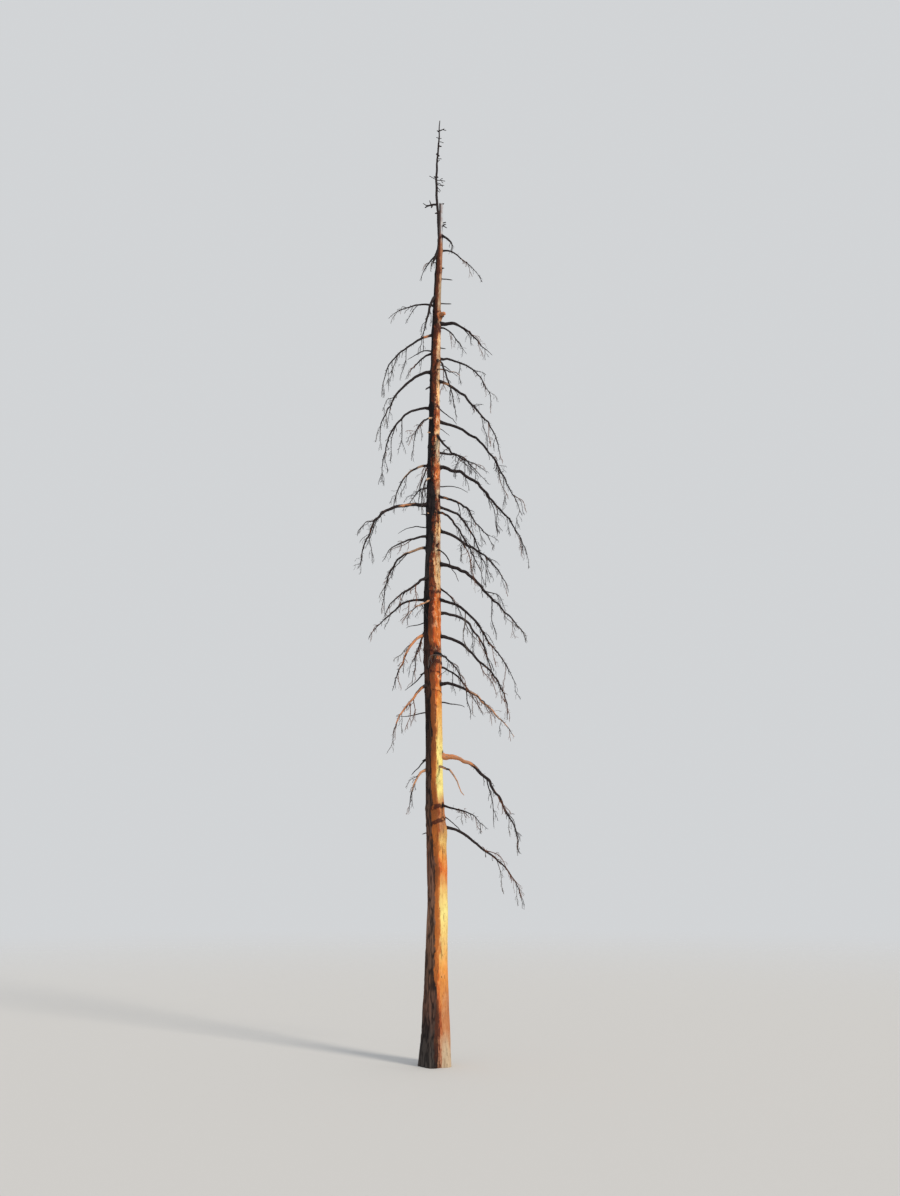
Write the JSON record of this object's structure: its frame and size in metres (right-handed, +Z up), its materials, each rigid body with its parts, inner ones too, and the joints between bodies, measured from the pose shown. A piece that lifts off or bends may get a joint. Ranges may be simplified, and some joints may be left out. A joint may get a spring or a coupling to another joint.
{
  "type": "dead conifer tree",
  "caption": "Tall bare dead conifer: one tapering trunk with a flared foot and a thin leader, and drooping dead limbs that end in bare twigs, rooted on a flat ground cut.",
  "frame": {"origin": "middle of the flat cut under the trunk, at ground level", "axes": "+Z up the trunk to the tip, +X to the right of the picture's view, +Y away from the picture's viewer"},
  "size_m": [3.5079, 2.8955, 20],
  "materials": {
    "bare_wood": "weathered bare wood, honey brown and grey, with dark charred bark on one side",
    "bough_wood": "weathered grey-brown dead wood",
    "twig": "dry red-brown dead twigs"
  },
  "bodies": {
    "root": {"trunk": "bare_wood", "bough_01": "bough_wood", "bough_04": "bough_wood", "bough_10": "bough_wood", "bough_19": "bough_wood", "bough_25": "bough_wood", "bough_29": "bough_wood", "bough_34": "bough_wood", "bough_37": "bough_wood", "bough_38": "bough_wood", "twigs_01": "twig", "twigs_02": "twig", "twigs_03": "twig", "twigs_04": "twig", "twigs_05": "twig", "twigs_06": "twig", "twigs_07": "twig", "twigs_08": "twig", "twigs_09": "twig", "twigs_10": "twig", "twigs_11": "twig", "twigs_12": "twig", "twigs_13": "twig", "twigs_14": "twig", "twigs_15": "twig", "twigs_16": "twig", "twigs_17": "twig", "twigs_18": "twig", "twigs_19": "twig", "twigs_20": "twig", "twigs_21": "twig", "twigs_22": "twig", "twigs_23": "twig", "twigs_24": "twig", "twigs_25": "twig", "twigs_26": "twig", "twigs_27": "twig", "twigs_28": "twig", "twigs_29": "twig", "twigs_30": "twig", "twigs_31": "twig", "twigs_32": "twig", "twigs_33": "twig", "twigs_34": "twig", "twigs_35": "twig", "twigs_36": "twig", "twigs_37": "twig", "twigs_38": "twig", "twigs_39": "twig", "twigs_40": "twig", "twigs_41": "twig", "twigs_42": "twig", "twigs_43": "twig", "twigs_44": "twig", "twigs_45": "twig", "twigs_46": "twig", "twigs_47": "twig", "twigs_48": "twig", "twigs_49": "twig", "twigs_50": "twig"}
  },
  "joints": []
}
